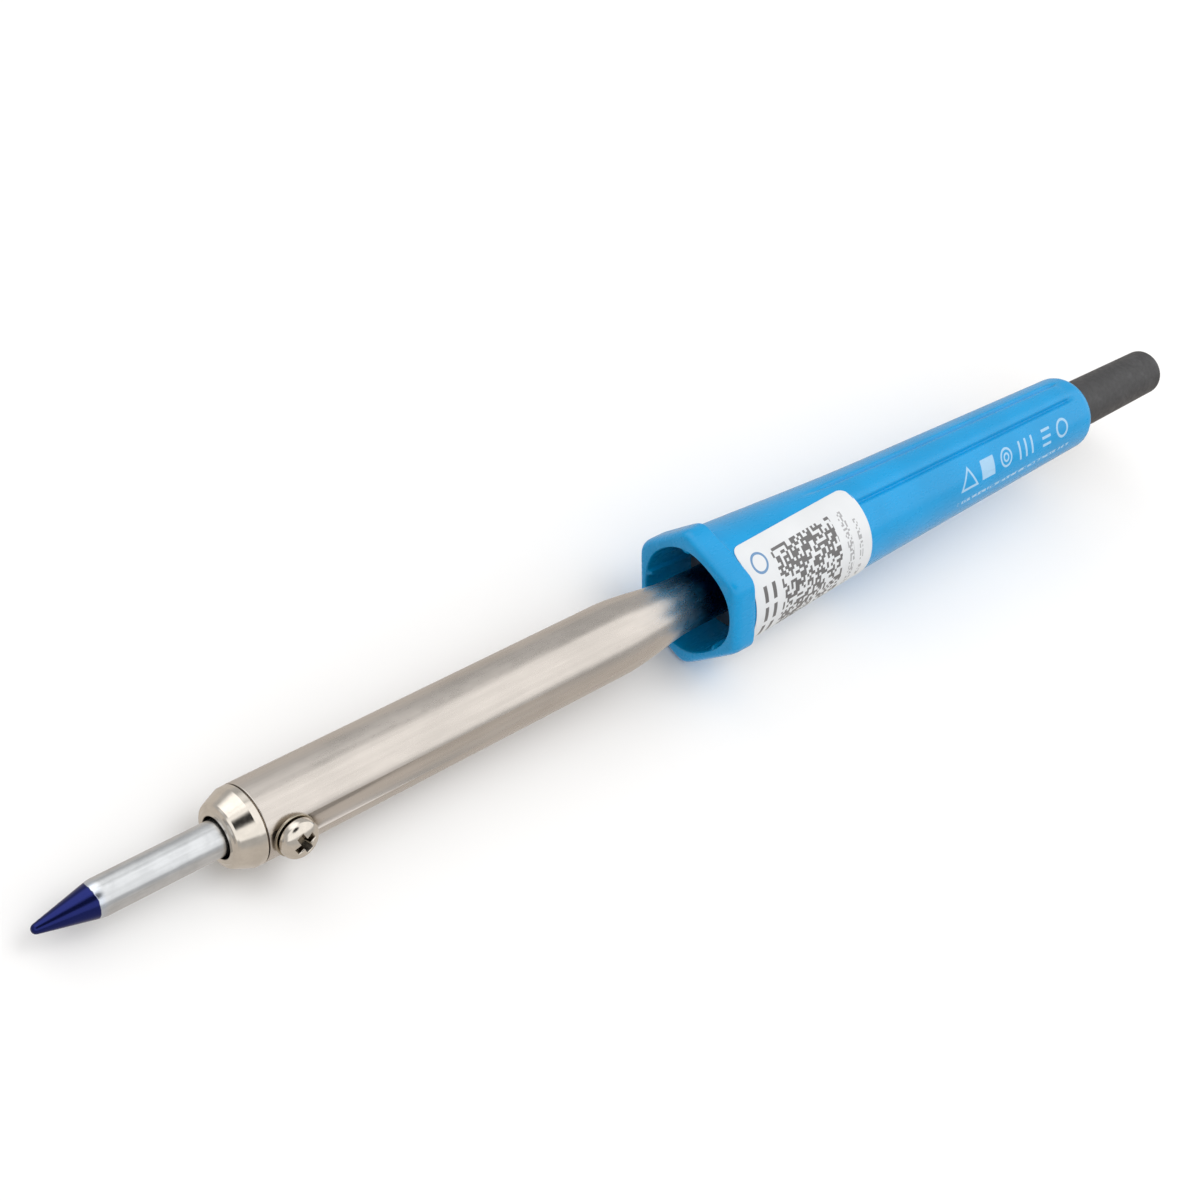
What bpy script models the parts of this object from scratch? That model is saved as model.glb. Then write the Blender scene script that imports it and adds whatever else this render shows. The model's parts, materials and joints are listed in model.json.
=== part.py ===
"""Mains soldering iron with a clamped straight bit, a steel heater barrel and a moulded handle.

Run with: blender --background --python part.py
The iron is built along +X of the empty iron_axis, from the point of the bit at x = 0 to the
strain relief sleeve. iron_axis is then tipped nose down, so that the iron lies on its collar
and on the lowest flat of the hexagonal finger guard. All sizes below are in millimetres.
"""

import math

import bmesh
import bpy
from mathutils import Matrix, Vector

MM = 0.001
GAP = 0.3                      # clearance left between pieces that touch

# Bit
BIT_R = 3.6
BIT_LENGTH = 84.0
BIT_CONE = 12.5
BIT_POINT_R = 0.9

# Nose collar, with a spigot inside the barrel that the set screw is threaded through
COLLAR_FRONT = 37.4
COLLAR_LAND = 41.2
COLLAR_REAR = 43.0
COLLAR_BORE_R = 4.1
SPIGOT_REAR = 56.3

# Barrel tube
BARREL_R = 8.0
BARREL_WALL = 0.8
BARREL_FRONT = COLLAR_REAR + GAP
NECK_START = 137.8
NECK_END = 156.5
NECK_R = 6.0

# Set screw (M4 pan head) and the washer under its head
SCREW_X = 48.2
SCREW_ANGLE = 154.5            # seen from the point of the bit, anticlockwise from +Y
SCREW_R = 2.0
SCREW_HEAD_R = 4.0
SCREW_HEAD_H = 3.0
SCREW_HOLE_R = SCREW_R + GAP
WASHER_THICK = 0.5
WASHER_BASE = BARREL_R + GAP
HEAD_BASE = WASHER_BASE + WASHER_THICK + GAP

# Handle
HANDLE_FRONT = 158.0
HANDLE_REAR = 299.5
GUARD_FLAT = 14.4              # centre to flat of the hexagonal finger guard
GUARD_CORNER_R = 5.5
GUARD_REAR = 163.9
GUARD_FACE_R = 14.5            # the front corners are turned down to this radius
TAPER_END = 212.0
BODY_FRONT_R = 14.0            # body radius at GUARD_REAR, nearly flush with the flats
BODY_WAIST_R = 11.6            # body radius at TAPER_END
BODY_REAR_R = 9.4
HOLLOW_R = 12.0
HOLLOW_PAD_R = 10.7            # the hollow is shallower over its top
HOLLOW_PAD_HALF_ANGLE = 48.0
HOLLOW_FLOOR = 174.6
CAVITY_R = 7.6
CAVITY_REAR = 291.5
INLET_R = 6.6

# Plate that carries the barrel in the handle
PLATE_FRONT = 172.0
PLATE_THICK = 1.2
PLATE_R = 11.4
PLATE_FLAT = 7.2               # flat that clears the thicker wall over the hollow
LIP_R = 7.3
PLATE_SCREW_RADIUS = 9.6
PLATE_SCREW_ANGLES = (12.0, 168.0, 270.0)
PLATE_SCREW_R = 1.2
PLATE_SCREW_LENGTH = 10.0

# Heating element
HEATER_FRONT = 59.9
HEATER_REAR = 113.5
WINDING_R = 5.6
WIRE_R = 0.3
WINDING_TURNS = 7
BUSH_FRONT = 121.0
BUSH_REAR = 131.0
LEAD_R = 0.5
LEAD_Y = 3.0

# Terminal block
BLOCK_X = 208.0
BLOCK_SIZE = (16.0, 12.0, 7.0)
POLE_PITCH = 3.9
INSERT_LENGTH = 14.0
INSERT_SIDE = 2.6

# Strain relief sleeve
SLEEVE_FRONT = 289.2
SLEEVE_REAR = 336.4
SLEEVE_END_R = 5.85
SLEEVE_BORE_R = 3.6

# Label
LABEL_FRONT = 165.5
LABEL_REAR = 206.6
LABEL_ANGLES = (82.0, 241.0)
LABEL_THICK = 0.3

# Materials: base colour, roughness, metallic
COLOURS = {
    "plated_copper": ((0.62, 0.64, 0.65), 0.28, 1.0),
    "polished_nickel": ((0.66, 0.62, 0.56), 0.14, 1.0),
    "satin_nickel": ((0.60, 0.57, 0.53), 0.32, 1.0),
    "zinc_steel": ((0.58, 0.59, 0.60), 0.38, 1.0),
    "heat_steel": ((0.45, 0.42, 0.38), 0.45, 1.0),
    "resistance_wire": ((0.42, 0.40, 0.37), 0.40, 1.0),
    "nickel_wire": ((0.60, 0.58, 0.54), 0.35, 1.0),
    "mica": ((0.55, 0.45, 0.28), 0.35, 0.0),
    "ceramic": ((0.86, 0.84, 0.78), 0.45, 0.0),
    "glass_fibre": ((0.82, 0.80, 0.74), 0.85, 0.0),
    "earth_green": ((0.10, 0.38, 0.12), 0.50, 0.0),
    "brass": ((0.72, 0.52, 0.22), 0.28, 1.0),
    "blue_plastic": ((0.004, 0.26, 0.69), 0.22, 0.0),
    "black_rubber": ((0.055, 0.055, 0.058), 0.62, 0.0),
    "label_film": ((0.80, 0.79, 0.82), 0.40, 0.0),
}


def clear_scene():
    for obj in list(bpy.data.objects):
        bpy.data.objects.remove(obj, do_unlink=True)


def material(name):
    found = bpy.data.materials.get(name)
    if found:
        return found
    colour, roughness, metallic = COLOURS[name]
    made = bpy.data.materials.new(name)
    made.use_nodes = True
    shader = made.node_tree.nodes["Principled BSDF"]
    shader.inputs["Base Color"].default_value = (*colour, 1.0)
    shader.inputs["Roughness"].default_value = roughness
    shader.inputs["Metallic"].default_value = metallic
    made.diffuse_color = (*colour, 1.0)
    return made


def empty(name, parent=None):
    made = bpy.data.objects.new(name, None)
    bpy.context.scene.collection.objects.link(made)
    made.parent = parent
    return made


def add(name, bm, material_name, parent):
    """Turns a bmesh drawn in millimetres into an object under parent."""
    bmesh.ops.scale(bm, vec=(MM, MM, MM), verts=bm.verts)
    bmesh.ops.recalc_face_normals(bm, faces=bm.faces)
    mesh = bpy.data.meshes.new(name)
    bm.to_mesh(mesh)
    bm.free()
    mesh.materials.append(material(material_name))
    obj = bpy.data.objects.new(name, mesh)
    bpy.context.scene.collection.objects.link(obj)
    obj.parent = parent
    return obj


def arc(centre_x, centre_r, radius, start, end, steps):
    """Points of a profile on an arc; angles in degrees from +X towards +r."""
    angles = [math.radians(start + (end - start) * i / steps) for i in range(steps + 1)]
    return [(centre_x + radius * math.cos(a), centre_r + radius * math.sin(a)) for a in angles]


def turned(profile, segments):
    """A solid turned about X. The profile is (x, r) points: closed, or with both ends at r = 0."""
    bm = bmesh.new()
    verts = [bm.verts.new((x, 0.0, r)) for x, r in profile]
    edges = [bm.edges.new(pair) for pair in zip(verts, verts[1:])]
    if profile[0][1] > 0.0:
        edges.append(bm.edges.new((verts[-1], verts[0])))
    bmesh.ops.spin(bm, geom=verts + edges, cent=(0, 0, 0), axis=(1, 0, 0),
                   angle=2 * math.pi, steps=segments)
    bmesh.ops.remove_doubles(bm, verts=bm.verts, dist=0.001)
    return bm


def ring(x0, x1, inner, outer, segments):
    return turned([(x0, inner), (x0, outer), (x1, outer), (x1, inner)], segments)


def rod(x0, x1, radius, segments):
    return turned([(x0, 0.0), (x0, radius), (x1, radius), (x1, 0.0)], segments)


def box(size, centre=(0.0, 0.0, 0.0)):
    bm = bmesh.new()
    bmesh.ops.create_cube(bm, size=1.0, matrix=Matrix.Translation(centre) @ Matrix.Diagonal((*size, 1.0)))
    return bm


def loft(rings, closed):
    """Skins a list of point loops. closed joins the last loop to the first; otherwise both are capped."""
    bm = bmesh.new()
    loops = [[bm.verts.new(p) for p in points] for points in rings]
    count = len(rings[0])
    pairs = list(zip(loops, loops[1:]))
    if closed:
        pairs.append((loops[-1], loops[0]))
    for a, b in pairs:
        for i in range(count):
            j = (i + 1) % count
            bm.faces.new((a[i], a[j], b[j], b[i]))
    if not closed:
        bm.faces.new(loops[0])
        bm.faces.new(loops[-1])
    return bm


def swept(path, radius, sides, bore=0.0):
    """A wire, or with a bore a tube, along a list of points."""
    points = [Vector(p) for p in path]
    normal = None
    frames = []
    for i, point in enumerate(points):
        ahead = points[min(i + 1, len(points) - 1)]
        behind = points[max(i - 1, 0)]
        along = (ahead - behind).normalized()
        if normal is None:
            normal = along.orthogonal()
        normal = (normal - along * normal.dot(along)).normalized()
        frames.append((point, normal.copy(), along.cross(normal)))

    def loops(r):
        turn = [2 * math.pi * k / sides for k in range(sides)]
        return [[p + r * (math.cos(a) * u + math.sin(a) * v) for a in turn] for p, u, v in frames]

    if bore:
        return loft(loops(radius) + loops(bore)[::-1], closed=True)
    return loft(loops(radius), closed=False)


def cut(obj, cutters):
    """Cuts each bmesh, drawn in the object's own frame in millimetres, out of the object."""
    for number, bm in enumerate(cutters):
        tool = add(f"cutter_{obj.name}_{number}", bm, "zinc_steel", obj.parent)
        tool.hide_render = True
        tool.display_type = "WIRE"
        modifier = obj.modifiers.new(f"cut_{number}", "BOOLEAN")
        modifier.operation = "DIFFERENCE"
        modifier.solver = "EXACT"
        modifier.object = tool


def radial_hole(x, angle, radius, inner, outer):
    """A cylinder from radius inner to radius outer on the ray at this angle round X."""
    bm = rod(inner, outer, radius, 24)
    turn = Matrix.Rotation(math.radians(angle), 4, "X") @ Matrix.Rotation(math.radians(90), 4, "Z")
    bmesh.ops.transform(bm, matrix=Matrix.Translation((x, 0, 0)) @ turn, verts=bm.verts)
    return bm


def moved(bm, x, y, z):
    bmesh.ops.translate(bm, vec=(x, y, z), verts=bm.verts)
    return bm


def screw_body(head_r, head_h, shank_r, length, segments):
    """A pan head screw along X: the head from 0 to -head_h, the shank from 0 to length."""
    profile = [(-head_h, 0.0)]
    profile += [(-head_h * math.cos(a), head_r * 0.98 * math.sin(a))
                for a in (math.radians(d) for d in (18, 36, 54, 68))]
    profile += [(-head_h * 0.2, head_r), (0.0, head_r), (0.0, shank_r)]
    profile += [(length - 0.4, shank_r), (length, shank_r * 0.75), (length, 0.0)]
    return turned(profile, segments)


def cross_recess(width, arm, depth, top):
    """Two bars that cut a cross into a head whose top is at x = -top."""
    along = depth + 1.0
    centre = -top - 1.0 + along / 2
    return [box((along, arm, width), (centre, 0, 0)), box((along, width, arm), (centre, 0, 0))]


def body_radius(x):
    """Radius of the handle behind the finger guard: a taper, then a slimmer grip."""
    taper = (BODY_WAIST_R - BODY_FRONT_R) / (TAPER_END - GUARD_REAR)
    grip = (BODY_REAR_R - BODY_WAIST_R) / (HANDLE_REAR - TAPER_END)
    blend = 14.0
    reach = min(max((x - TAPER_END + blend) / (2 * blend), 0.0), 1.0)
    eased = (grip - taper) * blend * reach * reach
    if x > TAPER_END + blend:
        return BODY_WAIST_R + grip * (x - TAPER_END)
    return BODY_WAIST_R + taper * (x - TAPER_END) + eased


def guard_radius(angle, flat, corner):
    """Radius of a hexagon with rounded corners and a flat at the top and at the bottom."""
    off = abs((angle - 90.0 + 30.0) % 60.0 - 30.0)
    centre = (flat - corner) / math.cos(math.radians(30))
    if math.tan(math.radians(off)) * flat <= (flat - corner) * math.tan(math.radians(30)):
        return flat / math.cos(math.radians(off))
    beta = math.radians(30.0 - off)
    return centre * math.cos(beta) + math.sqrt(corner ** 2 - (centre * math.sin(beta)) ** 2)


def hollow_radius(angle):
    """Radius of the hollow in the finger guard, with a thicker wall over the top."""
    off = abs((angle - 90.0 + 180.0) % 360.0 - 180.0)
    return HOLLOW_PAD_R if off < HOLLOW_PAD_HALF_ANGLE else HOLLOW_R


def make_bit(parent):
    tip_centre = BIT_POINT_R * 1.05
    profile = [(0.0, 0.0)]
    profile += arc(tip_centre, 0.0, tip_centre, 180, 102.5, 4)[1:]
    profile += [(BIT_CONE, BIT_R), (BIT_LENGTH - 0.8, BIT_R), (BIT_LENGTH, BIT_R - 0.8), (BIT_LENGTH, 0.0)]
    return add("soldering_bit", turned(profile, 32), "plated_copper", parent)


def make_collar(parent):
    profile = [(COLLAR_FRONT, COLLAR_BORE_R), (COLLAR_FRONT - 0.2, COLLAR_BORE_R + 0.3)]
    profile += [(COLLAR_FRONT - 0.2, 4.8), (COLLAR_FRONT, 5.2), (COLLAR_FRONT + 0.35, 6.0)]
    profile += [(COLLAR_FRONT + 0.9, 6.75), (COLLAR_LAND, BARREL_R), (COLLAR_REAR, BARREL_R)]
    spigot = BARREL_R - BARREL_WALL - GAP
    profile += [(COLLAR_REAR, spigot), (SPIGOT_REAR, spigot), (SPIGOT_REAR, COLLAR_BORE_R)]
    obj = add("nose_collar", turned(profile, 40), "polished_nickel", parent)
    cut(obj, [radial_hole(SCREW_X, SCREW_ANGLE, SCREW_HOLE_R, 2.0, 10.0)])


def make_barrel(parent):
    neck = [(NECK_START, BARREL_R), (142.0, 7.6), (147.0, 6.95), (151.5, 6.3), (NECK_END, NECK_R)]
    rear = PLATE_FRONT + PLATE_THICK + GAP
    outer = [(BARREL_FRONT, BARREL_R)] + neck + [(rear, NECK_R), (rear, LIP_R), (rear + 0.8, LIP_R)]
    inner = [(x, r - BARREL_WALL) for x, r in reversed(neck)]
    inner = [(rear + 0.8, NECK_R - BARREL_WALL)] + inner + [(BARREL_FRONT, BARREL_R - BARREL_WALL)]
    obj = add("barrel_tube", turned(outer + inner, 40), "satin_nickel", parent)
    cut(obj, [radial_hole(SCREW_X, SCREW_ANGLE, SCREW_HOLE_R, 5.0, 10.0)])


def make_set_screw(parent):
    """The empty lies on the screw's axis, with -X pointing out of the head."""
    seat = empty("set_screw_axis", parent)
    seat.location = (SCREW_X * MM, 0, 0)
    turn = Matrix.Rotation(math.radians(SCREW_ANGLE), 4, "X") @ Matrix.Rotation(math.radians(-90), 4, "Z")
    seat.rotation_euler = turn.to_euler()
    washer = ring(-WASHER_BASE - WASHER_THICK, -WASHER_BASE, SCREW_HOLE_R, SCREW_HEAD_R + 0.3, 32)
    add("set_screw_washer", washer, "polished_nickel", seat)
    length = HEAD_BASE - BIT_R - GAP
    body = moved(screw_body(SCREW_HEAD_R, SCREW_HEAD_H, SCREW_R, length, 32), -HEAD_BASE, 0, 0)
    screw = add("set_screw", body, "polished_nickel", seat)
    cut(screw, cross_recess(1.1, 4.2, 1.6, HEAD_BASE + SCREW_HEAD_H))


def make_heater(parent):
    add("front_ceramic_ring", ring(56.6, HEATER_FRONT - GAP, COLLAR_BORE_R, 6.9, 32), "ceramic", parent)
    add("bit_socket_tube", ring(HEATER_FRONT, HEATER_REAR, BIT_R + GAP, 4.3, 28), "heat_steel", parent)
    add("inner_mica_tube", ring(HEATER_FRONT, HEATER_REAR, 4.6, 5.0, 28), "mica", parent)
    add("outer_mica_tube", ring(HEATER_FRONT, 119.0, 6.2, 6.6, 28), "mica", parent)
    front, rear = HEATER_FRONT + 2.5, HEATER_REAR - 1.5
    steps = WINDING_TURNS * 12
    there = [(front + (rear - front) * (1 - i / steps), 360.0 * WINDING_TURNS * i / steps)
             for i in range(steps + 1)]
    bend = [(front - 0.6 * math.sin(math.radians(180 * i / 7)), 180.0 * i / 7) for i in range(1, 7)]
    back = [(x, angle + 180.0) for x, angle in reversed(there)]
    path = [(x, WINDING_R * math.cos(math.radians(a)), WINDING_R * math.sin(math.radians(a)))
            for x, a in there + bend + back]
    add("heater_winding", swept(path, WIRE_R, 5), "resistance_wire", parent)
    bush = add("rear_ceramic_bush", rod(BUSH_FRONT, BUSH_REAR, 6.5, 32), "ceramic", parent)
    holes = [(LEAD_Y, 0.0, LEAD_R), (-LEAD_Y, 0.0, LEAD_R)]
    cut(bush, [moved(rod(BUSH_FRONT - 1, BUSH_REAR + 1, r + GAP, 12), 0, y, z) for y, z, r in holes])


def make_leads(parent):
    """Two heater leads in fibre sleeves, and the earth wire from the plate, end in the block."""
    enter = BLOCK_X - INSERT_LENGTH / 2 + 4.0
    for side, name in ((1, "live"), (-1, "neutral")):
        y = side * LEAD_Y
        path = [(112.8, side * WINDING_R, 0), (114.4, side * WINDING_R, 0), (117.0, side * 4.4, 0)]
        path += [(119.6, side * 3.2, 0), (121.0, y, 0), (150.0, y, 0), (176.0, y, 0)]
        path += [(190.0, side * 3.6, 0), (196.0, side * POLE_PITCH, 0), (enter, side * POLE_PITCH, 0)]
        add(f"lead_wire_{name}", swept(path, LEAD_R, 8), "nickel_wire", parent)
        cover = [(131.6, y, 0), (150.0, y, 0), (176.0, y, 0), (190.0, side * 3.6, 0)]
        cover += [(196.0, side * POLE_PITCH, 0), (199.4, side * POLE_PITCH, 0)]
        add(f"lead_sleeve_{name}", swept(cover, 1.3, 10, LEAD_R + GAP), "glass_fibre", parent)
    earth = [(175.0, 0, -4.4), (178.0, 0, -5.6), (184.0, 0, -5.4), (191.0, 0, -2.6)]
    earth += [(197.0, 0, 0), (enter, 0, 0)]
    add("earth_wire", swept(earth, 0.6, 8), "earth_green", parent)


def make_plate(parent):
    hole = NECK_R + GAP
    rear = PLATE_FRONT + PLATE_THICK
    plate = add("mounting_plate", ring(PLATE_FRONT, rear, hole, PLATE_R, 48), "zinc_steel", parent)
    shield_front = rear + GAP
    shield_rear = HOLLOW_FLOOR - GAP
    disc = ring(shield_front, shield_rear, CAVITY_R, PLATE_R, 48)
    shield = add("mica_heat_shield", disc, "mica", parent)
    flat = (6.0, 30.0, 10.0)
    for obj in (plate, shield):
        holes = [moved(rod(PLATE_FRONT - 2, HOLLOW_FLOOR + 1, PLATE_SCREW_R + GAP, 16), 0, *place)
                 for place in plate_screw_places()]
        cut(obj, holes + [box(flat, (PLATE_FRONT + 1.5, 0, PLATE_FLAT + 5.0))])
    for number, (y, z) in enumerate(plate_screw_places(), 1):
        seat = empty(f"plate_screw_axis_{number}", parent)
        seat.location = ((PLATE_FRONT - GAP) * MM, y * MM, z * MM)
        body = screw_body(2.2, 1.8, PLATE_SCREW_R, PLATE_SCREW_LENGTH, 12)
        screw = add(f"plate_screw_{number}", body, "zinc_steel", seat)
        cut(screw, [box((1.6, 0.6, 6.0), (-1.8, 0, 0))])


def plate_screw_places():
    return [(PLATE_SCREW_RADIUS * math.cos(math.radians(a)), PLATE_SCREW_RADIUS * math.sin(math.radians(a)))
            for a in PLATE_SCREW_ANGLES]


def make_handle(parent):
    segments = 48
    angles = [360.0 * k / segments for k in range(segments)]

    def loop(x, radius_at):
        return [(x, radius_at(a) * math.cos(math.radians(a)), radius_at(a) * math.sin(math.radians(a)))
                for a in angles]

    def guard(x, inset, turned_r):
        return loop(x, lambda a: min(guard_radius(a, GUARD_FLAT - inset, GUARD_CORNER_R), turned_r))

    rings = [guard(HANDLE_FRONT + x, inset, GUARD_FACE_R + x)
             for x, inset in ((0.0, 1.0), (0.5, 0.35), (1.2, 0.08), (2.0, 0.0))]
    rings += [guard(GUARD_REAR, 0.0, GUARD_FACE_R + 2.0)]
    stations = [GUARD_REAR + 1.0, 175.0, 188.0, 200.0, 206.0, 212.0, 218.0, 224.0, 250.0, 275.0]
    rings += [loop(x, lambda a, x=x: body_radius(x)) for x in stations]
    end_round = 2.6
    for x, r in arc(HANDLE_REAR - end_round, BODY_REAR_R - end_round, end_round, 90, 0, 5):
        rings.append(loop(x, lambda a, r=r: r))
    rings += [loop(x, lambda a, r=r: r) for x, r in
              ((HANDLE_REAR - 0.4, INLET_R), (CAVITY_REAR, INLET_R), (CAVITY_REAR, CAVITY_R),
               (HOLLOW_FLOOR, CAVITY_R))]
    rings += [loop(HOLLOW_FLOOR, hollow_radius), loop(HANDLE_FRONT + 0.5, hollow_radius)]
    rings += [loop(HANDLE_FRONT, lambda a: hollow_radius(a) + 0.4)]
    obj = add("handle_shell", loft(rings, closed=True), "blue_plastic", parent)
    pilots = [moved(rod(HOLLOW_FLOOR - 1, 184.0, PLATE_SCREW_R + GAP, 12), 0, *place)
              for place in plate_screw_places()]
    cut(obj, pilots)


def make_terminals(parent):
    length, width, height = BLOCK_SIZE
    poles = [-POLE_PITCH, 0.0, POLE_PITCH]
    screw_xs = (BLOCK_X - 3.6, BLOCK_X + 3.6)
    block = add("terminal_block", box(BLOCK_SIZE, (BLOCK_X, 0, 0)), "ceramic", parent)
    slot = INSERT_SIDE + 2 * GAP
    upright = Matrix.Rotation(math.radians(90), 4, "Y")
    cutters = [box((length + 2, slot, slot), (BLOCK_X, y, 0)) for y in poles]
    for x in screw_xs:
        for y in poles:
            well = rod(-5.0, 0.0, 1.4, 12)
            bmesh.ops.transform(well, matrix=Matrix.Translation((x, y, 0)) @ upright, verts=well.verts)
            cutters.append(well)
    cut(block, cutters)
    for number, y in enumerate(poles, 1):
        shape = box((INSERT_LENGTH, INSERT_SIDE, INSERT_SIDE), (BLOCK_X, y, 0))
        insert = add(f"terminal_insert_{number}", shape, "brass", parent)
        bore = moved(rod(BLOCK_X - 10, BLOCK_X + 10, 0.95, 12), 0, y, 0)
        wells = []
        for x in screw_xs:
            well = rod(-3.0, 0.0, 0.95, 12)
            bmesh.ops.transform(well, matrix=Matrix.Translation((x, y, 0)) @ upright, verts=well.verts)
            wells.append(well)
        cut(insert, [bore] + wells)
        for half, x in enumerate(screw_xs):
            seat = empty(f"terminal_screw_axis_{2 * number - 1 + half}", parent)
            seat.location = (x * MM, y * MM, 2.2 * MM)
            seat.rotation_euler = upright.to_euler()
            body = screw_body(1.05, 0.9, 0.6, 1.25, 10)
            screw = add(f"terminal_screw_{2 * number - 1 + half}", body, "brass", seat)
            cut(screw, [box((0.7, 0.35, 3.0), (-0.9, 0, 0))])


def make_sleeve(parent):
    neck = INLET_R - GAP
    profile = [(SLEEVE_FRONT, SLEEVE_BORE_R), (SLEEVE_FRONT, CAVITY_R - GAP)]
    profile += [(CAVITY_REAR - GAP, CAVITY_R - GAP), (CAVITY_REAR - GAP, neck), (HANDLE_REAR, neck)]
    profile += arc(SLEEVE_REAR - 1.9, SLEEVE_END_R - 1.9, 1.9, 88, 0, 5)
    profile += [(SLEEVE_REAR, SLEEVE_BORE_R + 0.2), (SLEEVE_REAR - 0.2, SLEEVE_BORE_R)]
    add("strain_relief_sleeve", turned(profile, 32), "black_rubber", parent)


def make_label(parent):
    start, end = LABEL_ANGLES
    steps = 22
    stations = [LABEL_FRONT, 180.0, 195.0, LABEL_REAR]
    bm = bmesh.new()
    sheets = []
    for lift in (GAP, GAP + LABEL_THICK):
        grid = []
        for x in stations:
            angles = [math.radians(start + (end - start) * k / steps) for k in range(steps + 1)]
            r = body_radius(x) + lift
            grid.append([bm.verts.new((x, r * math.cos(a), r * math.sin(a))) for a in angles])
        for a, b in zip(grid, grid[1:]):
            for k in range(steps):
                bm.faces.new((a[k], a[k + 1], b[k + 1], b[k]))
        rim = grid[0] + [row[-1] for row in grid[1:-1]] + grid[-1][::-1] + [row[0] for row in grid[-2:0:-1]]
        sheets.append(rim)
    inner, outer = sheets
    for k in range(len(inner)):
        j = (k + 1) % len(inner)
        bm.faces.new((inner[k], inner[j], outer[j], outer[k]))
    add("rating_label", bm, "label_film", parent)


def lay_down(axis):
    """Tips the iron until its collar and its finger guard touch z = 0, centred over the origin."""
    guard_edge = HANDLE_FRONT + 2.0
    tilt = math.atan2(GUARD_FLAT - BARREL_R, guard_edge - COLLAR_LAND)
    axis.rotation_euler = (0.0, -tilt, 0.0)
    bpy.context.view_layer.update()
    solids = [obj for obj in bpy.context.scene.objects if obj.type == "MESH" and not obj.hide_render]
    corners = [obj.matrix_world @ vert.co for obj in solids for vert in obj.data.vertices]
    low = [min(c[k] for c in corners) for k in range(3)]
    high = [max(c[k] for c in corners) for k in range(3)]
    axis.location = (-(low[0] + high[0]) / 2, -(low[1] + high[1]) / 2, -low[2])
    bpy.context.view_layer.update()


def main():
    clear_scene()
    axis = empty("iron_axis")
    bit_axis = empty("bit_axis", axis)
    make_bit(bit_axis)
    make_collar(axis)
    make_barrel(axis)
    make_set_screw(axis)
    make_heater(axis)
    make_leads(axis)
    make_plate(axis)
    make_handle(axis)
    make_terminals(axis)
    make_sleeve(axis)
    make_label(axis)
    lay_down(axis)


main()
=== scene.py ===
"""Looks of the soldering iron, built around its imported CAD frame.

Every new piece is drawn in the iron's own frame, in millimetres: +X runs from the point of the
bit along the iron's axis, +Y is level, +Z is up across the axis. Angles round the axis are in
degrees, 0 at +Y and 90 at the top. Profiles are lists of (x, radius) or (x, radius, fillet).
Materials work in metres, in the frame of the piece.
"""

import json
import math

import bmesh
import bpy
from mathutils import Matrix, Vector


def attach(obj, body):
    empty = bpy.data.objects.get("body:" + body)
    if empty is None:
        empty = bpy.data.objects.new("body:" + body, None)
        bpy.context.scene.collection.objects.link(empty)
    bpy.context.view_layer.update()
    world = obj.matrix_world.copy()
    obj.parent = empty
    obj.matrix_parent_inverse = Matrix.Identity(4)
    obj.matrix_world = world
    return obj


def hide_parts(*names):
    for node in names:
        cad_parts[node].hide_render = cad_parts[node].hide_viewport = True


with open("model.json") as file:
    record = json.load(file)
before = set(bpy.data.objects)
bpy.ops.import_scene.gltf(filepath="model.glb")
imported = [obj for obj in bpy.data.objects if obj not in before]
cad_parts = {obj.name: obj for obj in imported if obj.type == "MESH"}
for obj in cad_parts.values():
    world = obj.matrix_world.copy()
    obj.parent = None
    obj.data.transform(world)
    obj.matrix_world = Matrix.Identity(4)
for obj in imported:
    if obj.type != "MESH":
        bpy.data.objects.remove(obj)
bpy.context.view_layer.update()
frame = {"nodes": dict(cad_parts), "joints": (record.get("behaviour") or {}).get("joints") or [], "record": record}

# Sizes, in millimetres and degrees

MM = 0.001
GAP = 0.3
EDGE_SUPPORT = 0.02
FILLET_STEPS = 5
FINE_FILLET_STEPS = 8
ROUND_SEGMENTS = 96
MERGE_DISTANCE = 0.001
SHARP_ANGLE = 32.0
HANDLE_SHARP_ANGLE = 28.0
CAD_SHARP_ANGLE = 35.0
SMALL_FILLET = 0.1
EDGE_FILLET = 0.15

BIT_R = 3.6
BIT_LENGTH = 84.0
BIT_CONE = 12.5
BIT_POINT_R = 0.95
BIT_POINT_CENTRE = BIT_POINT_R * 1.04
BIT_POINT_SHOULDER_R = BIT_POINT_R * 0.97
BIT_POINT_STEPS = 8
BIT_SHOULDER_FILLET = 7.0
BIT_SHOULDER_END = BIT_CONE + 6.0
BIT_SHANK_START = BIT_CONE + 8.0
BIT_END_FILLET = 0.7
LACQUER_END = 11.3

COLLAR_FRONT = 37.4
COLLAR_LAND = 41.55
COLLAR_REAR = 43.0
COLLAR_BORE_R = 4.1
BORE_MOUTH_R = 4.25
# Distance behind the collar's front, radius and fillet, from the bore out to the cone
COLLAR_NOSE = ((1.0, COLLAR_BORE_R, 0.2), (-0.2, BORE_MOUTH_R, 0.1), (-0.2, 5.15, 0.2),
               (0.1, 5.5, 0.25), (0.3, 6.25, 0.3), (0.75, 6.55, 0.3))
LAND_R = 7.95
LAND_FILLET = 0.06
SPIGOT_REAR = 56.3
COLLAR_SEGMENTS = 128
COLLAR_HOLE_BASE = 2.0

BARREL_R = 8.0
BARREL_WALL = 0.8
BARREL_FRONT = COLLAR_REAR + GAP
BARREL_FLAT_END = BARREL_FRONT + 5.0
BARREL_SEGMENTS = 144
BARREL_HOLE_BASE = 5.0
HOLE_TOP = 10.0
HOLE_SEGMENTS = 40
SWAGE_START = 134.8
SWAGE_END = 157.5
SWAGE_STATIONS = 26
NECK_R = 6.0
LIP_R = 7.3
LIP_THICK = 0.8
PLATE_REAR = 173.2

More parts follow.
